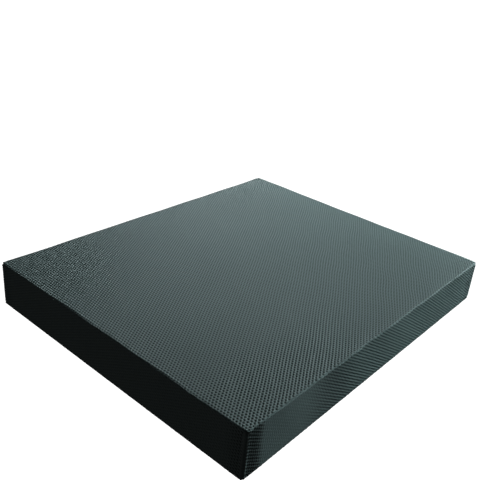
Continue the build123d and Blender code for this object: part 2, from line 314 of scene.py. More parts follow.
def sheet_material():
    """Dark teal-grey coated sheet: fine grain, cloudy colour, painted shade in the pits and
    painted highlights on the peaks.
    """
    material, tree, shader = new_material("dimpled_sheet")
    place = object_place(tree)
    # pit carries how much painted shade each point gets, and the next value its painted highlight
    pit = point_value(tree, "pit")
    peak = point_value(tree, "painted_highlight")
    seam = point_value(tree, "seam")
    cloud = remap(tree, noise(tree, place, 14), 0.35, 0.65)
    speckle = remap(tree, noise(tree, place, 900, detail=2), 0.35, 0.65)
    clouded = blend_colour(tree, cloud, SHEET_DARK, SHEET_PALE)
    grained = blend_colour(tree, speckle, clouded, SHEET_SPECKLE)
    # painted highlight on the peaks, then painted shade in the pits over it
    painted_highlight = blend_colour(tree, peak, grained, SHEET_PAINTED_HIGHLIGHT)
    colour = blend_colour(tree, remap(tree, pit, 0.32, 0.8), painted_highlight, SHEET_PAINTED_SHADE)
    tree.links.new(colour, shader.inputs["Base Color"])
    rough = uneven(tree, place, 300, 0.38, 0.52)
    rougher = calculate(tree, "ADD", rough, remap(tree, seam, 0.0, 0.5, 0, 0.55))
    tree.links.new(rougher, shader.inputs["Roughness"])
    tree.links.new(remap(tree, seam, 0.0, 0.5, 0.5, 0.3), shader.inputs["Specular IOR Level"])
    pores = add_node(tree, "ShaderNodeTexVoronoi", {"Vector": place, "Scale": 1900})
    fine = bump(tree, noise(tree, place, 2600, detail=2), 0.06 * MM, 0.6)
    normal = bump(tree, pores.outputs["Distance"], 0.05 * MM, 0.5, below=fine)
    tree.links.new(normal, shader.inputs["Normal"])
    return material


def foam_material():
    """Closed-cell foam: fine skin with cells of two sizes."""
    material, tree, shader = new_material("core_foam")
    place = object_place(tree)
    cells = add_node(tree, "ShaderNodeTexVoronoi", {"Vector": place, "Scale": 700})
    small = add_node(tree, "ShaderNodeTexVoronoi", {"Vector": place, "Scale": 2100})
    shade = remap(tree, cells.outputs["Distance"], 0.1, 0.7)
    tree.links.new(blend_colour(tree, shade, FOAM_DARK, FOAM_PALE), shader.inputs["Base Color"])
    tree.links.new(uneven(tree, place, 500, 0.8, 0.95), shader.inputs["Roughness"])
    coarse = bump(tree, cells.outputs["Distance"], 0.4 * MM, 0.8)
    normal = bump(tree, small.outputs["Distance"], 0.12 * MM, 0.8, below=coarse)
    tree.links.new(normal, shader.inputs["Normal"])
    return material


def thread_material():
    """Twisted polyester thread."""
    material, tree, shader = new_material("sewing_thread")
    place = object_place(tree)
    inputs = {"Vector": place, "Scale": 1100, "Distortion": 1.2, "Detail": 1}
    twist = add_node(tree, "ShaderNodeTexWave", inputs, bands_direction="DIAGONAL").outputs["Fac"]
    colour = blend_colour(tree, twist, THREAD_DARK, THREAD_PALE)
    tree.links.new(colour, shader.inputs["Base Color"])
    tree.links.new(uneven(tree, place, 1500, 0.5, 0.7), shader.inputs["Roughness"])
    tree.links.new(bump(tree, twist, 0.08 * MM, 0.8), shader.inputs["Normal"])
    shader.inputs["Sheen Weight"].default_value = 0.3
    return material


def tape_material():
    """Woven zip tape: warp and weft that cross."""
    material, tree, shader = new_material("zip_tape_weave")
    place = object_place(tree)
    weave = calculate(tree, "MULTIPLY", bands(tree, place, 420, "Z"), bands(tree, place, 560, "X"))
    tree.links.new(blend_colour(tree, weave, TAPE_DARK, TAPE_PALE), shader.inputs["Base Color"])
    tree.links.new(uneven(tree, place, 800, 0.75, 0.9), shader.inputs["Roughness"])
    tree.links.new(bump(tree, weave, 0.15 * MM, 0.9), shader.inputs["Normal"])
    shader.inputs["Sheen Weight"].default_value = 0.25
    return material


def coil_material():
    """Nylon monofilament of the zip's coil."""
    material, tree, shader = new_material("zip_coil_nylon")
    place = object_place(tree)
    share = uneven(tree, place, 250, 0, 1)
    tree.links.new(blend_colour(tree, share, NYLON_DARK, NYLON_PALE), shader.inputs["Base Color"])
    tree.links.new(uneven(tree, place, 900, 0.28, 0.42), shader.inputs["Roughness"])
    scratches = noise(tree, place, 3000)
    tree.links.new(bump(tree, scratches, 0.03 * MM, 0.5), shader.inputs["Normal"])
    return material


def zip_metal_material():
    """Die-cast zinc under dark lacquer, worn brighter where fingers rub it."""
    material, tree, shader = new_material("zip_lacquered_metal")
    place = object_place(tree)
    wear_and_painted_light = remap(tree, noise(tree, place, 420, detail=5), 0.56, 0.66)
    tree.links.new(blend_colour(tree, wear_and_painted_light, LACQUER, WORN_METAL), shader.inputs["Base Color"])
    tree.links.new(remap(tree, wear_and_painted_light, 0, 1, 0.3, 1.0), shader.inputs["Metallic"])
    tree.links.new(uneven(tree, place, 1300, 0.26, 0.44), shader.inputs["Roughness"])
    scratches = noise(tree, place, 1700)
    tree.links.new(bump(tree, scratches, 0.04 * MM, 0.4), shader.inputs["Normal"])
    return material


# ---- the cover's surfaces ----
# Each takes places on a flat sheet, u along and v up, and returns points and outward normals
# on the pad, as (along, up, out).

def cap_surface(u, v):
    """The top or base panel: flat, and bent over its rounded edge as far as the seam."""
    over_u = np.maximum(np.abs(u) - CENTRE_X, 0)
    over_v = np.maximum(np.abs(v) - CENTRE_Y, 0)
    reach = np.maximum(over_u, over_v)
    length = np.maximum(np.hypot(over_u, over_v), 1e-12)    # never zero, as it divides
    toward_u = over_u / length * np.sign(u)
    toward_v = over_v / length * np.sign(v)
    bend = np.maximum(reach - FLAT_RADIUS, 0) / EDGE_RADIUS
    out = np.minimum(reach, FLAT_RADIUS) + EDGE_RADIUS * np.sin(bend)
    along = np.clip(u, -CENTRE_X, CENTRE_X) + toward_u * out
    up = np.clip(v, -CENTRE_Y, CENTRE_Y) + toward_v * out
    height = HEIGHT / 2 - EDGE_RADIUS * (1 - np.cos(bend))
    points = np.stack([along, up, height], 1)
    normals = np.stack([toward_u * np.sin(bend), toward_v * np.sin(bend), np.cos(bend)], 1)
    return points, normals


def wall_surface(u, v, centre_along, centre_out):
    """A side panel: flat, and bent round its upright corners and its rounded edges."""
    turn = np.maximum(np.abs(u) - centre_along, 0) / CORNER_RADIUS * np.sign(u)
    bend = np.maximum(np.abs(v) - STRAIGHT, 0) / EDGE_RADIUS * np.sign(v)
    radius = FLAT_RADIUS + EDGE_RADIUS * np.cos(bend)
    along = np.clip(u, -centre_along, centre_along) + radius * np.sin(turn)
    out = centre_out + radius * np.cos(turn)
    up = np.clip(v, -STRAIGHT, STRAIGHT) + EDGE_RADIUS * np.sin(bend)
    points = np.stack([along, up, out], 1)
    normals = np.stack(
        [np.sin(turn) * np.cos(bend), np.sin(bend), np.cos(turn) * np.cos(bend)], 1
    )
    return points, normals


def folded_edge(points, normals, from_edge, side):
    """Rolls a strip's edge in beside the zip, by half a turn."""
    roll = np.clip((FOLD_ARC - from_edge) / FOLD_RADIUS, 0, math.pi)
    rolled = roll > 0
    edge_up = points[:, 1] - side * (from_edge - FOLD_ARC) * rolled
    points = points.copy()
    normals = normals.copy()
    sine, cosine = np.sin(roll), np.cos(roll)
    points[:, 1] = np.where(rolled, edge_up - side * FOLD_RADIUS * sine, points[:, 1])
    points[:, 2] = np.where(rolled, points[:, 2] - FOLD_RADIUS * (1 - cosine), points[:, 2])
    normals[:, 1] = np.where(rolled, -side * sine, normals[:, 1])
    normals[:, 2] = np.where(rolled, cosine, normals[:, 2])
    return points, normals


# ---- the dimpled sheet, flat ----

def dimple_cells(half_u, half_v, turn, stray, wall):
    """Points and triangles of the sheet's cells over a rectangle, and how deep each point
    lies in its pit, from 0 to 1. A cell has its pit's bottom, three points on the wall and
    two of the peaks that it shares with its neighbours."""
    cosine, sine = math.cos(turn), math.sin(turn)
    margin = 4 * PIT_SPACING
    rows = int((half_u + half_v * abs(sine) + margin) / ROW_SPACING)
    columns = int((half_v + half_u * abs(sine) + margin) / PIT_SPACING)
    row, column = np.meshgrid(
        np.arange(-rows, rows + 1), np.arange(-columns, columns + 1), indexing="ij"
    )
    centre_u = row * ROW_SPACING
    centre_v = (column + 0.5 * (row % 2)) * PIT_SPACING
    to_peak = PIT_SPACING / math.sqrt(3)
    offsets = [(0, 0)]
    for degrees, radius in wall:
        angle = math.radians(degrees)
        offsets.append((radius * math.cos(angle), radius * math.sin(angle)))
    offsets += [(to_peak, 0), (-to_peak, 0)]
    shares = [1, WALL_SHARE, WALL_SHARE, WALL_SHARE, 0, 0]
    flat_u = np.stack([centre_u + du for du, _ in offsets], -1)
    flat_v = np.stack([centre_v + dv for _, dv in offsets], -1)
    share = np.broadcast_to(shares, flat_u.shape).ravel()
    u = (flat_u * cosine - flat_v * sine).ravel()
    v = (flat_u * sine + flat_v * cosine).ravel()
    reach = stray * smooth_step(u, *STRAY_FADE)
    moved_u = u + reach * slow_wave(u, v, *STRAY_ALONG)
    moved_v = v + reach * slow_wave(u, v, *STRAY_UP)
    return moved_u, moved_v, share, cell_triangles(row)


def cell_triangles(row):
    """The twelve triangles of each cell but the outermost, from the row that each cell is
    in. They reach the peaks of the cells in the next row to the right and to the left. Odd
    rows stand half a cell higher."""
    next_row = CELL_POINTS * row.shape[1]
    cell = np.arange(row.size).reshape(row.shape)[1:-1, 1:-1] * CELL_POINTS
    up = cell + CELL_POINTS * (row % 2)[1:-1, 1:-1]
    down = up - CELL_POINTS
    bottom, wall_1, wall_2, wall_3 = (cell + number for number in range(4))
    right, left = cell + RIGHT_PEAK, cell + LEFT_PEAK
    right_up = up + next_row + LEFT_PEAK
    right_down = down + next_row + LEFT_PEAK
    left_up = up - next_row + RIGHT_PEAK
    left_down = down - next_row + RIGHT_PEAK
    corners = [
        (bottom, wall_1, wall_2),
        (bottom, wall_2, wall_3),
        (bottom, wall_3, wall_1),
        (wall_3, right, wall_1),
        (wall_3, right_down, right),
        (right, right_up, wall_1),
        (wall_1, left_up, wall_2),
        (wall_1, right_up, left_up),
        (left_up, left, wall_2),
        (wall_2, left_down, wall_3),
        (wall_2, left, left_down),
        (left_down, right_down, wall_3),
    ]
    return np.concatenate([np.stack(three, -1).reshape(-1, 3) for three in corners])


def cut_away(sheet, field, uphill):
    """Cuts off the part of a sheet where a field is below zero. uphill is the direction in
    which the field grows. Points that almost lie on the cut are put on it."""
    u, v, share, triangles = sheet
    height = field(u, v)
    near = np.abs(height) < SNAP
    u = np.where(near, u - height * uphill[0], u)
    v = np.where(near, v - height * uphill[1], v)
    height = np.where(near, 0, height)
    below = (height[triangles] < 0).sum(1)
    above = (height[triangles] > 0).sum(1)
    kept = [triangles[(below == 0) & (above > 0)]]

    # the triangles that the cut crosses, each turned so that its lone point comes first
    mixed = (below > 0) & (above > 0)
    crossed, lone_below = triangles[mixed], below[mixed] == 1
    wanted = np.where(lone_below, -1, 1)[:, None]
    first = np.argmax(np.sign(height[crossed]) == wanted, axis=1)
    turned = crossed[np.arange(len(crossed))[:, None], (first[:, None] + np.arange(3)) % 3]
    lone, second, third = turned.T

    # a new point where the cut crosses an edge, which the triangles on both sides share
    edges = np.sort(np.concatenate([turned[:, [0, 1]], turned[:, [0, 2]]]), axis=1)
    unique_edges, back = np.unique(edges, axis=0, return_inverse=True)
    a, b = unique_edges.T
    part = height[a] / (height[a] - height[b])
    new_points = np.arange(len(a)) + len(u)
    new_points = np.where(height[a] == 0, a, np.where(height[b] == 0, b, new_points))
    u = np.append(u, u[a] + (u[b] - u[a]) * part)
    v = np.append(v, v[a] + (v[b] - v[a]) * part)
    share = np.append(share, share[a] + (share[b] - share[a]) * part)
    on_second, on_third = new_points[back.ravel()].reshape(2, -1)

    kept.append(np.stack([lone, on_second, on_third], 1)[~lone_below])
    kept.append(np.stack([on_second, second, third], 1)[lone_below])
    kept.append(np.stack([on_second, third, on_third], 1)[lone_below])
    triangles = np.concatenate(kept)
    a, b, c = triangles.T
    triangles = triangles[(a != b) & (b != c) & (c != a)]
    used, renumbered = np.unique(triangles, return_inverse=True)
    return u[used], v[used], share[used], renumbered.reshape(-1, 3)


def cut_sheet(half_u, low, high, cells):
    """The sheet's cells, cut to a panel. low and high give its lower and upper edge at u."""
    along = np.linspace(-half_u, half_u, 50)
    half_v = max(np.abs(low(along)).max(), np.abs(high(along)).max())
    sheet = dimple_cells(half_u, half_v, **cells)
    sheet = cut_away(sheet, lambda u, v: u + half_u, (1, 0))
    sheet = cut_away(sheet, lambda u, v: half_u - u, (-1, 0))
    sheet = cut_away(sheet, lambda u, v: v - low(u), (0, 1))
    return cut_away(sheet, lambda u, v: high(u) - v, (0, -1))


def boundary_loop(triangles):
    """The points round a panel's edge, in order."""
    edges = np.concatenate([triangles[:, [0, 1]], triangles[:, [1, 2]], triangles[:, [2, 0]]])
    total = triangles.max() + 1
    alone = ~np.isin(edges[:, 0] * total + edges[:, 1], edges[:, 1] * total + edges[:, 0])
    following = dict(edges[alone].tolist())
    loop = [next(iter(following))]
    for _ in range(len(following) - 1):
        loop.append(following[loop[-1]])
    assert following[loop[-1]] == loop[0] and len(set(loop)) == alone.sum()
    return np.array(loop)


# ---- how the filled cover departs from a plain block ----

LATTICE = (50, 41, 6)               # cells of about 10 mm along, across and up
CLOTH_FRAMES = 20
RELAX_ROUNDS = 60                   # of smoothing inside the lattice
SWELL_CAP = 1.3 * MM                # the most that the filling moves the cover
WAVE = 0.3 * MM                     # slow unevenness of the whole block
WAVE_X = ((83 * MM, 210 * MM), 0.7)         # of shifts along x: lengths over y and z, start
WAVE_Y = ((97 * MM, 180 * MM), 2.1)         # of shifts along y: lengths over x and z, start
WAVE_Z = ((310 * MM, 0.4), (270 * MM, 1.3))     # of shifts along z: over x, and over y
PUCKER = 1.1 * MM                   # how far the drawn-in corners dip
PUCKER_RADIUS = 4 * MM
CREASE = 0.5 * MM                   # each of three sets of fine creases round the corners
# each set's waves run this fast along x, y and z, in radians a millimetre, from this start
CREASE_WAVES = (((2.1, 0, 0.8), 0), ((0, 1.9, -1.1), 1.0), ((0.9, 0, 1.6), 0))


def lattice_places():
    """The lattice's points over the plain block, as an array by column, row and layer."""
    along = np.linspace(-HALF_LENGTH, HALF_LENGTH, LATTICE[0] + 1)
    across = np.linspace(-HALF_WIDTH, HALF_WIDTH, LATTICE[1] + 1)
    up = np.linspace(0, HEIGHT, LATTICE[2] + 1)
    return np.stack(np.meshgrid(along, across, up, indexing="ij"), -1)


def skin_mask():
    """Which of the lattice's points lie on the block's surface."""
    mask = np.ones([cells + 1 for cells in LATTICE], bool)
    mask[1:-1, 1:-1, 1:-1] = False
    return mask


def skin_quads(numbers):
    """The quads over all six sides of the lattice, from the points' numbers, facing out."""
    quads = []
    for axis in range(3):
        for last in (False, True):
            side = np.take(numbers, -1 if last else 0, axis=axis)
            corners = [side[:-1, :-1], side[1:, :-1], side[1:, 1:], side[:-1, 1:]]
            turned = last == (axis == 1)
            faces = np.stack(corners[::-1] if turned else corners, -1).reshape(-1, 4)
            quads.append(faces)
    return np.concatenate(quads)


def cloth_swell(places):
    """Blows up a closed bag of cloth round the block, with its base held down, and returns
    how far each of the lattice's surface points moves."""
    mask = skin_mask()
    numbers = np.full(mask.shape, -1)
    numbers[mask] = np.arange(mask.sum())
    start = places[mask]
    bag = mesh_object("cloth_bag", start, [(skin_quads(numbers), True)])
    held = bag.vertex_groups.new(name="held")
    held.add([int(i) for i in np.flatnonzero(start[:, 2] < MM)], 1.0, "REPLACE")
    cloth = bag.modifiers.new("cloth", "CLOTH")
    cloth.settings.quality = 6
    cloth.settings.mass = 0.2
    cloth.settings.tension_stiffness = 40
    cloth.settings.compression_stiffness = 40
    cloth.settings.shear_stiffness = 20
    cloth.settings.bending_stiffness = 2
    cloth.settings.use_pressure = True
    cloth.settings.uniform_pressure_force = 4
    cloth.settings.effector_weights.gravity = 0
    cloth.settings.vertex_group_mass = "held"
    cloth.collision_settings.use_collision = False
    scene = bpy.context.scene
    for step in range(1, CLOTH_FRAMES + 1):
        scene.frame_set(step)
    shown = bag.evaluated_get(bpy.context.evaluated_depsgraph_get())
    moved = np.empty(len(start) * 3, np.float32)
    shown.data.vertices.foreach_get("co", moved)
    swell = np.zeros_like(places)
    swell[mask] = moved.reshape(-1, 3) - start
    scene.frame_set(1)
    bpy.data.objects.remove(bag)
    return swell


def make_field():
    """How far the cover stands from the plain block, at each point of the lattice. Inside,
    the values run smoothly between those of the surface."""
    places = lattice_places()
    swell = cloth_swell(places)
    furthest = np.linalg.norm(swell, axis=-1).max()
    print("cover swells by %.2f mm, scaled to %.2f mm" % (furthest / MM, SWELL_CAP / MM))
    field = swell * (SWELL_CAP / furthest)
    x, y, z = np.moveaxis(places, -1, 0)
    swing = WAVE * z / HEIGHT
    (length_x, start_x), (length_y, start_y) = WAVE_Z
    field[..., 0] += swing * slow_wave(y, z, *WAVE_X)
    field[..., 1] += swing * slow_wave(x, z, *WAVE_Y)
    crests = np.sin(2 * math.pi * x / length_x + start_x)
    field[..., 2] += swing * crests * np.sin(2 * math.pi * y / length_y + start_y)
    field[:, :, 0, 2] = 0
    inner = ~skin_mask()
    field[inner] = 0
    for _ in range(RELAX_ROUNDS):
        total = sum(np.roll(field, step, axis) for axis in range(3) for step in (-1, 1))
        field[inner] = (total / 6)[inner]
    return field


def drift(points):
    """How far the filled cover stands from the plain block at any point."""
    cells = np.array(LATTICE)
    place = np.clip((points - MIDDLE + HALF_SIZES) / (2 * HALF_SIZES), 0, 1) * cells
    corner = np.minimum(place.astype(int), cells - 1)
    part = place - corner
    moved = np.zeros_like(points)
    for step in np.ndindex(2, 2, 2):
        weight = np.abs(1 - np.array(step) - part).prod(axis=1)
        moved += weight[:, None] * FIELD[tuple((corner + step).T)]
    return moved + corner_pucker(points)


def corner_pucker(points):
    """How the sewn corners are drawn in, with fine creases round them."""
    centred = points - MIDDLE
    from_corner = np.linalg.norm(HALF_SIZES - np.abs(centred), axis=1)
    dip = PUCKER * np.exp(-((from_corner / PUCKER_RADIUS) ** 2))
    folds = sum(np.sin(points / MM @ rates + start) for rates, start in CREASE_WAVES)
    crease = CREASE * folds * np.exp(-((from_corner / (2 * PUCKER_RADIUS)) ** 2))
    inward = -np.sign(centred) / math.sqrt(3)
    inward[:, 2] *= points[:, 2] > HEIGHT / 2
    return inward * (dip + crease)[:, None]


# ---- cover panels ----

def panel(name, sheet, surface, axes, relief, wear_and_painted_light, inner_face):
    """One panel of dimpled sheet. axes are the pad's directions for along, up and out.
    relief gives how much of the pits' depth there is, and how deep the seams draw in.
    The next argument gives the painted shade in the pits and the painted highlight on the
    peaks. A single flat face closes a panel that has no inner face, which does for the top
    and base."""
    u, v, share, triangles = sheet
    points, normals = surface(u, v)
    fullness, groove = relief(u, v)
    # the pits' painted shade and the peaks' painted highlight along u
    shade, highlight = wear_and_painted_light(u)
    points = points @ np.array(axes) + MIDDLE
    normals = normals @ np.array(axes)
    points = points + drift(points)
    pit = share * fullness
    outer = points - normals * (groove + PIT_DEPTH * pit)[:, None]
    loop = boundary_loop(triangles)
    if inner_face:
        inner = points - normals * BACK_DEPTH
        inner_loop = loop + len(outer)
        closing = (triangles[:, ::-1] + len(outer), True)
    else:
        inner = points[loop] - normals[loop] * SHEET
        inner_loop = np.arange(len(loop)) + len(outer)
        closing = (inner_loop[::-1][None, :], False)
    rim = np.stack([np.roll(loop, -1), loop, inner_loop, np.roll(inner_loop, -1)], 1)
    everything = np.concatenate([outer, inner])
    piece = mesh_object(name, everything, [(triangles, True), (rim, False), closing])
    # the pits' painted shade and the peaks' painted highlight go to the points as values
    peak = np.clip(1 - share / HIGHLIGHT_SHARE, 0, 1) * np.minimum(fullness, 1)
    carry_values(piece, "pit", pit * shade)
    carry_values(piece, "painted_highlight", peak * highlight)
    carry_values(piece, "seam", np.minimum(groove / SEAM_DEPTH, 1))
    return piece


def carry_values(piece, label, values):
    """Gives a mesh's first points a value each, and the rest 0."""
    attribute = piece.data.attributes.new(label, "FLOAT", "POINT")
    padded = np.zeros(len(piece.data.vertices), np.float32)
    padded[:len(values)] = values
    attribute.data.foreach_set("value", padded)


def seam_groove(distance):
    """How deep a seam draws the sheet in, at a distance from it."""
    return SEAM_DEPTH * np.exp(-((distance / SEAM_HALF_WIDTH) ** 2))


def slackness(u, half_u):
    """How slack a side's sheet is, which it is near both of its ends."""
    return np.exp(-(((half_u - np.abs(u)) / SLACK_REACH) ** 4))


def seam_relief(half_u, half_v, end_fade, row_fade, open_at):
    """Pits that fade out toward a panel's seams, and the seams' grooves. The pits are
    deepest near a panel's ends, where the sheet is slack. Elsewhere open_at gives how far
    the pull of the sheet leaves them open."""
    def relief(u, v):
        from_ends = half_u - np.abs(u)
        from_rows = half_v - np.abs(v)
        fullness = smooth_step(from_ends, *end_fade) * smooth_step(from_rows, *row_fade)
        openness = open_at(u)
        fullness = fullness * (openness + (1 - openness) * slackness(u, half_u))
        return fullness, seam_groove(np.minimum(from_ends, from_rows))
    return relief


def cap_painted_light(u):
    """The top and base get the same painted shade and painted highlight all over."""
    return CAP_SHADE, PEAK_HIGHLIGHT


def side_painted_light(half_u, shade_at, highlight_at):
    """Painted shade and highlight for a side. The pits' painted shade is darkest where the sheet
    is slack.
    """
    return lambda u: (shade_at(u) * (1 + slackness(u, half_u)), highlight_at(u))


def loosening(u):
    """0 where the front is pulled tight, toward its left end, and 1 where it isn't."""
    return smooth_step(u, *FRONT_LOOSENS)


def front_openness(u):
    """The front is pulled almost smooth toward its left end."""
    return TIGHT_OPENNESS + (1 - TIGHT_OPENNESS) * loosening(u)


def front_shade(u):
    """The pits' painted shade is darkest where the front is pulled tight, though they are shallow
    there.
    """
    return TIGHT_SHADE + (FRONT_SHADE - TIGHT_SHADE) * loosening(u)


def front_highlight(u):
    """The painted highlight on the front's peaks is strongest along its middle."""
    return MIDDLE_HIGHLIGHT * loosening(u) - (MIDDLE_HIGHLIGHT - PEAK_HIGHLIGHT) * smooth_step(u, *FRONT_HIGHLIGHT_FADES)


def cap_panel(name, sign):
    """The top (+1) or base (-1) panel."""
    sheet = cut_sheet(CAP_HALF_U, level(-CAP_HALF_V), level(CAP_HALF_V), CAP_CELLS)
    axes = [(sign, 0, 0), (0, 1, 0), (0, 0, sign)]
    relief = seam_relief(CAP_HALF_U, CAP_HALF_V, CAP_END_FADE, CAP_ROW_FADE, level(1.0))
    return panel(name, sheet, cap_surface, axes, relief, cap_painted_light, inner_face=False)


def side_axes(along_x, sign):
    """The directions of along, up and out for a side of the pad."""
    if along_x:
        return [(-sign, 0, 0), (0, 0, 1), (0, sign, 0)]
    return [(0, sign, 0), (0, 0, 1), (sign, 0, 0)]


def side_panel(name, along_x, sign):
    """The front, left or right side panel."""
    if along_x:
        half_u, centres = LONG_SIDE_HALF_U, (CENTRE_X, CENTRE_Y)
        openness = front_openness
        # the front's painted shade and painted highlight
        wear_and_painted_light = side_painted_light(half_u, front_shade, front_highlight)
    else:
        half_u, centres = SHORT_SIDE_HALF_U, (CENTRE_Y, CENTRE_X)
        openness = level(SIDE_OPENNESS)
        # the ends' painted shade and painted highlight
        wear_and_painted_light = side_painted_light(half_u, level(SHORT_SIDE_SHADE), level(PEAK_HIGHLIGHT))

    def surface(u, v):
        return wall_surface(u, v, *centres)

    sheet = cut_sheet(half_u, level(-SIDE_HALF_V), level(SIDE_HALF_V), SIDE_CELLS)
    relief = seam_relief(half_u, SIDE_HALF_V, SIDE_END_FADE, SIDE_ROW_FADE, openness)
    return panel(name, sheet, surface, side_axes(along_x, sign), relief, wear_and_painted_light, inner_face=True)


def slot_half(u):
    """Half the height of the zip's slot along the rear side, closing to nothing at its ends."""
    return SLOT_HALF * (1 - smooth_step(np.abs(u), *SLOT_CLOSING))


def rear_strip(name, side):
    """The strip above (+1) or below (-1) the zip, with its edge folded in."""
    half_u = LONG_SIDE_HALF_U
    slot_middle = ZIP_HEIGHT - HEIGHT / 2

    def folding(u):
        return 1 - smooth_step(np.abs(u), SLOT_CLOSING[1], CENTRE_X)

    def edge(u):
        return slot_middle + side * (slot_half(u) - FOLD_HIDDEN * folding(u))

    def surface(u, v):
        points, normals = wall_surface(u, v, CENTRE_X, CENTRE_Y)
        from_edge = side * (v - edge(u))
        scaled = FOLD_ARC - (FOLD_ARC - from_edge) * folding(u)
        from_edge = np.where(from_edge < FOLD_ARC, scaled, from_edge)
        return folded_edge(points, normals, from_edge, side)

    seams = seam_relief(half_u, SIDE_HALF_V, SIDE_END_FADE, SIDE_ROW_FADE, level(SIDE_OPENNESS))

    def relief(u, v):
        fullness, groove = seams(u, v)
        from_stitches = np.abs(v - slot_middle - side * (SLOT_HALF + STITCH_MARGIN))
        sewn = np.exp(-((from_stitches / STITCH_HALF_WIDTH) ** 2)) * (np.abs(u) < STITCH_END)
        unfolded = smooth_step(side * (v - edge(u)), FOLD_HIDDEN, FOLD_ARC + MM)
        openness = FOLD_OPENNESS + (1 - FOLD_OPENNESS) * unfolded
        return fullness * (1 - STITCH_FLATTENS * sewn) * openness, groove + STITCH_SINK * sewn

    low, high = (edge, level(SIDE_HALF_V)) if side > 0 else (level(-SIDE_HALF_V), edge)
    sheet = cut_sheet(half_u, low, high, SIDE_CELLS)
    # the strip's painted shade and painted highlight
    wear_and_painted_light = side_painted_light(half_u, level(REAR_SHADE), level(PEAK_HIGHLIGHT))
    return panel(name, sheet, surface, side_axes(True, 1), relief, wear_and_painted_light, inner_face=True)


def make_cover(material):
    """All the cover's panels, each a stretched sheet over the core."""
    cap = (2 * CAP_HALF_U, 2 * CAP_HALF_V)
    long_side = (2 * LONG_SIDE_HALF_U, 2 * SIDE_HALF_V)
    short_side = (2 * SHORT_SIDE_HALF_U, 2 * SIDE_HALF_V)
    strip = (2 * LONG_SIDE_HALF_U, SIDE_HALF_V - SLOT_HALF + FOLD_HIDDEN)
    made = [
        (cap_panel("cover_top", 1), "top_panel", cap),
        (cap_panel("cover_base", -1), "base_panel", cap),
        (side_panel("cover_front", True, -1), "front_side_panel", long_side),
        (side_panel("cover_left", False, -1), "left_side_panel", short_side),
        (side_panel("cover_right", False, 1), "right_side_panel", short_side),
        (rear_strip("cover_rear_upper", 1), "rear_strip_upper", strip),
        (rear_strip("cover_rear_lower", -1), "rear_strip_lower", strip),
    ]
    for piece, node, flat in made:
        finish_piece(piece, material, "pad", [node])


# ---- core ----

FOAM_GAP = 0.6 * MM                 # beyond the sheet's thickness, to clear the pits
JOIN = 0.001 * MM                   # points of a CAD mesh this near to each other are one
FLAT_WITHIN = math.radians(0.5)     # and faces this near to one plane


def cad_copy(node, name):
    """A copy of a CAD node's mesh, with its points joined, that can be worked on."""
    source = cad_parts[node]
    mesh = source.data.copy()
    mesh.transform(source.matrix_world)
    shape = bmesh.new()
    shape.from_mesh(mesh)
    bmesh.ops.remove_doubles(shape, verts=shape.verts, dist=JOIN)
    bmesh.ops.dissolve_limit(shape, angle_limit=FLAT_WITHIN, verts=shape.verts, edges=shape.edges)
    shape.to_mesh(mesh)
    shape.free()
    return new_object(name, mesh)


def cut_along_lattice(mesh):
    """Cuts a mesh along the lattice's upright planes, so that it can bend as the cover does."""
    shape = bmesh.new()
    shape.from_mesh(mesh)
    for axis, half, cells in ((0, HALF_LENGTH, LATTICE[0]), (1, HALF_WIDTH, LATTICE[1])):
        across = Vector(np.eye(3)[axis])
        for place in np.linspace(-half, half, cells + 1)[1:-1]:
            everything = [*shape.verts, *shape.edges, *shape.faces]
            bmesh.ops.bisect_plane(
                shape, geom=everything, plane_co=across * place, plane_no=across
            )
    bmesh.ops.triangulate(shape, faces=shape.faces)
    shape.to_mesh(mesh)
    shape.free()


def make_core(material):
    """The three foam sheets, kept clear of the pits and bent with the cover."""
    limit = HALF_SIZES - SHEET - FOAM_GAP
    for word in ("lower", "middle", "upper"):
        node = "core_sheet_" + word
        piece = cad_copy(node, "foam_" + word)
        cut_along_lattice(piece.data)
        places = np.empty(len(piece.data.vertices) * 3, np.float32)
        piece.data.vertices.foreach_get("co", places)
        centred = places.reshape(-1, 3).astype(float) - MIDDLE
        places = MIDDLE + np.clip(centred, -limit, limit)
        piece.data.vertices.foreach_set("co", (places + drift(places)).ravel())
        finish_piece(piece, material, "pad", [node])


# ---- zip ----

COIL_PITCH = 1.25 * MM
COIL_WIRE = 0.3 * MM                # radius of the wound wire
COIL_REACH = (-0.45 * MM, 3.0 * MM)         # from behind the centre line to the tape
COIL_DEPTH = 2.0 * MM
COIL_STEPS = 12                     # in a turn
COIL_SIDES = 6
PARTING = 1.4 * MM                  # how far each row moves out before the slider
PARTING_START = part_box("zip_slider")[0].x + 3.5 * MM
PARTING_END = PARTING_START + 4.5 * MM
STITCH_LENGTH = 2.6 * MM
STITCH_GAP = 0.6 * MM
STITCH_RISE = 0.5 * MM              # how far a stitch's middle stands above its ends
STITCH_ROOT = 0.1 * MM              # how far its ends lie under the sunken sheet
STITCH_BOW = np.array([0, 0.45, 0.85, 1, 0.85, 0.45, 0])     # its shape, end to end
STITCH_STRAY = (0.06 * MM, 0.05 * MM)       # usual error along and across the row
STITCH_LEAN = 0.03                  # its usual slope to the row
STITCH_SIDES = 8
THREAD_RADIUS = 0.3 * MM
THREAD_PINCH = 0.55                 # share of that radius at a stitch's ends
CAST_GRAIN = 0.16 * MM              # how finely the castings are remeshed


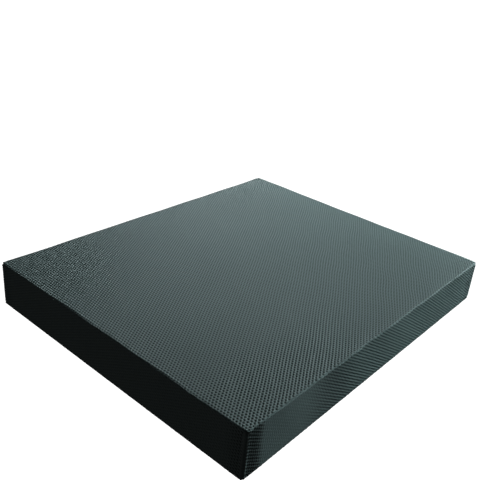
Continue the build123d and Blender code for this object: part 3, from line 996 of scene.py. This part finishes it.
def tube(path, radius, sides):
    """Points, side faces and end faces of a tube along a path of points. radius is one
    number, or one for each point."""
    ahead = np.gradient(path, axis=0)
    ahead /= np.linalg.norm(ahead, axis=1)[:, None]
    across = np.cross(ahead, [0.31, 0.83, 0.47])    # a direction that no path follows
    across /= np.linalg.norm(across, axis=1)[:, None]
    other = np.cross(ahead, across)
    angles = np.linspace(0, 2 * math.pi, sides, endpoint=False)[:, None]
    ring = across[:, None] * np.cos(angles) + other[:, None] * np.sin(angles)
    radius = np.broadcast_to(radius, len(path))[:, None, None]
    points = (path[:, None] + ring * radius).reshape(-1, 3)
    rings = np.arange(len(path) - 1)[:, None] * sides
    here = rings + np.arange(sides)
    beside = rings + (np.arange(sides) + 1) % sides
    quads = np.stack([here, beside, beside + sides, here + sides], -1).reshape(-1, 4)
    first = np.arange(sides)[::-1]
    last = np.arange(sides) + (len(path) - 1) * sides
    return points, quads, np.stack([first, last])


def coil_row(name, side):
    """One row of the zip: a wire wound into a flat coil, which parts before the slider."""
    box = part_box("zip_chain_upper")
    turns = (box[1].x - box[0].x) / COIL_PITCH
    angle = np.linspace(0, 2 * math.pi * turns, int(turns * COIL_STEPS))
    x = box[0].x + COIL_PITCH * angle / (2 * math.pi)
    phase = angle + (0 if side > 0 else math.pi)
    near, far = COIL_REACH
    half = (far - near) / 2 - COIL_WIRE
    out = (near + far) / 2 + half * np.cos(phase)
    out = out + PARTING * smooth_step(x, PARTING_START, PARTING_END)
    depth = box[0].y + COIL_DEPTH / 2 + (COIL_DEPTH / 2 - COIL_WIRE) * np.sin(phase)
    path = np.stack([x, depth, ZIP_HEIGHT + side * out], 1)
    points, quads, ends = tube(path, COIL_WIRE, COIL_SIDES)
    return mesh_object(name, points, [(quads, True), (ends, False)])


def stitch_row(name, side, chance):
    """One row of topstitching: short threads that sink into the sheet at both ends."""
    height = ZIP_HEIGHT + side * (SLOT_HALF + STITCH_MARGIN)
    root = HALF_WIDTH - STITCH_SINK - STITCH_ROOT
    radius = THREAD_RADIUS * (THREAD_PINCH + (1 - THREAD_PINCH) * STITCH_BOW)
    repeat = STITCH_LENGTH + STITCH_GAP
    count = int(2 * STITCH_END / repeat)
    part = np.linspace(-0.5, 0.5, len(STITCH_BOW)) * STITCH_LENGTH
    all_points, all_quads, all_ends = [], [], []
    for number in range(count):
        middle = (number + 0.5 - count / 2) * repeat + chance.normal(0, STITCH_STRAY[0])
        lean = chance.normal(0, STITCH_LEAN)
        z = height + part * lean + chance.normal(0, STITCH_STRAY[1])
        path = np.stack([middle + part, root + STITCH_RISE * STITCH_BOW, z], 1)
        points, quads, ends = tube(path + drift(path), radius, STITCH_SIDES)
        all_points.append(points)
        all_quads.append(quads + number * len(points))
        all_ends.append(ends + number * len(points))
    polygons = [(np.concatenate(all_quads), True), (np.concatenate(all_ends), False)]
    return mesh_object(name, np.concatenate(all_points), polygons)


def cast_copy(node, name):
    """A CAD node's shape with the softened edges of a casting."""
    piece = cad_copy(node, name)
    remesh = piece.modifiers.new("remesh", "REMESH")
    remesh.mode = "VOXEL"
    remesh.voxel_size = CAST_GRAIN
    smooth = piece.modifiers.new("smooth", "SMOOTH")
    smooth.factor = 0.5
    smooth.iterations = 4
    shown = piece.evaluated_get(bpy.context.evaluated_depsgraph_get())
    mesh = bpy.data.meshes.new_from_object(shown)
    piece.modifiers.clear()
    piece.data = mesh
    mesh.polygons.foreach_set("use_smooth", [True] * len(mesh.polygons))
    return piece


def make_zip(nylon, thread, metal):
    """The zip's two coils, its stitching, its slider and pull, and its stops."""
    chance = np.random.default_rng(41)
    for side, word in ((1, "upper"), (-1, "lower")):
        coil = coil_row("coil_" + word, side)
        finish_piece(coil, nylon, "pad", ["zip_chain_" + word])
        stitches = stitch_row("stitches_" + word, side, chance)
        finish_piece(stitches, thread, "pad", ["zip_topstitch_" + word])
    castings = [
        ("zip_slider", "cast_slider", "slider"),
        ("zip_pull", "cast_pull", "pull"),
        ("zip_top_stops", "cast_top_stops", "pad"),
        ("zip_bottom_stop", "cast_bottom_stop", "pad"),
    ]
    for node, name, body in castings:
        piece = cast_copy(node, name)
        finish_piece(piece, metal, body, [node])


def dress_nodes(nodes, material):
    """Gives a material to CAD nodes that stay."""
    for node in nodes:
        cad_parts[node].data.materials.clear()
        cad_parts[node].data.materials.append(material)


# ---- camera, light and floor ----

CAMERA_PLACE = Vector((-0.6029, -0.4653, 0.4640))
CAMERA_TARGET = Vector((0.0812, 0.0959, 0.0300))
CAMERA_ROLL = math.radians(5.37)
CAMERA_LENS_MM = 48.37
LIGHT_COLOUR = (0.80, 0.98, 1.0)
LIGHT_TARGET = Vector((0, 0, 0.03))
# each light's place, size in metres and power in watts
LIGHTS = {
    "back_light": ((1.3, 1.3, 1.25), (0.8, 0.5), 17.5),
    "front_light": ((1.15, -0.53, 0.32), (0.3, 0.22), 54),
    "left_light": ((-1.6, 0.3, 1.0), (0.8, 0.8), 0.45),
}
WORLD_STRENGTH = 0.04
STUDIO_GLOW = 1.2
STUDIO_RADIUS = 8
FLOOR_DROP = 0.5 * MM               # the floor lies this far under the pad


def make_camera():
    """The camera, to the left of and in front of the pad, held a little out of level."""
    data = bpy.data.cameras.new("camera")
    data.lens = CAMERA_LENS_MM
    data.sensor_width = 36
    data.clip_start = 0.01
    camera = new_object("camera", data)
    look = (CAMERA_TARGET - CAMERA_PLACE).to_track_quat("-Z", "Y").to_matrix().to_4x4()
    roll = Matrix.Rotation(CAMERA_ROLL, 4, "Z")
    camera.matrix_world = Matrix.Translation(CAMERA_PLACE) @ look @ roll
    bpy.context.scene.camera = camera


def area_light(name, place, size, watts):
    """A soft rectangular light that faces the pad."""
    data = bpy.data.lights.new(name, "AREA")
    data.shape = "RECTANGLE"
    data.size, data.size_y = size
    data.energy = watts
    data.color = LIGHT_COLOUR
    light = new_object(name, data)
    light.location = place
    light.rotation_euler = (LIGHT_TARGET - Vector(place)).to_track_quat("-Z", "Y").to_euler()
    light.visible_camera = False


def studio_material():
    """Plain white that shows the same however it is lit."""
    material, _, glow = new_material("studio_pale", "ShaderNodeEmission", "Emission")
    glow.inputs["Color"].default_value = (1, 1, 1, 1)
    glow.inputs["Strength"].default_value = STUDIO_GLOW
    return material


def make_studio():
    """A plain pale floor and backdrop, which light nothing, and soft lights."""
    pale = studio_material()
    bpy.ops.mesh.primitive_plane_add(size=2 * STUDIO_RADIUS, location=(0, 0, -FLOOR_DROP))
    floor = bpy.context.object
    bpy.ops.mesh.primitive_uv_sphere_add(radius=STUDIO_RADIUS, segments=48, ring_count=24)
    dome = bpy.context.object
    for thing, name in ((floor, "studio_floor"), (dome, "studio_backdrop")):
        thing.name = name
        thing.data.materials.append(pale)
        thing.visible_diffuse = False
        thing.visible_glossy = False
        thing.visible_shadow = False
    for name, (place, size, watts) in LIGHTS.items():
        area_light(name, place, size, watts)
    world = bpy.data.worlds.new("studio_world")
    world.use_nodes = True
    background = world.node_tree.nodes["Background"]
    background.inputs["Color"].default_value = (1, 1, 1, 1)
    background.inputs["Strength"].default_value = WORLD_STRENGTH
    bpy.context.scene.world = world
    bpy.context.scene.view_settings.view_transform = "Standard"


# ---- the whole pad ----

FIELD = make_field()
make_camera()
make_cover(sheet_material())
make_core(foam_material())
thread = thread_material()
make_zip(coil_material(), thread, zip_metal_material())
dress_nodes(("top_seam_thread", "base_seam_thread", "corner_seam_threads"), thread)
dress_nodes(("zip_tape_upper", "zip_tape_lower"), tape_material())
make_studio()
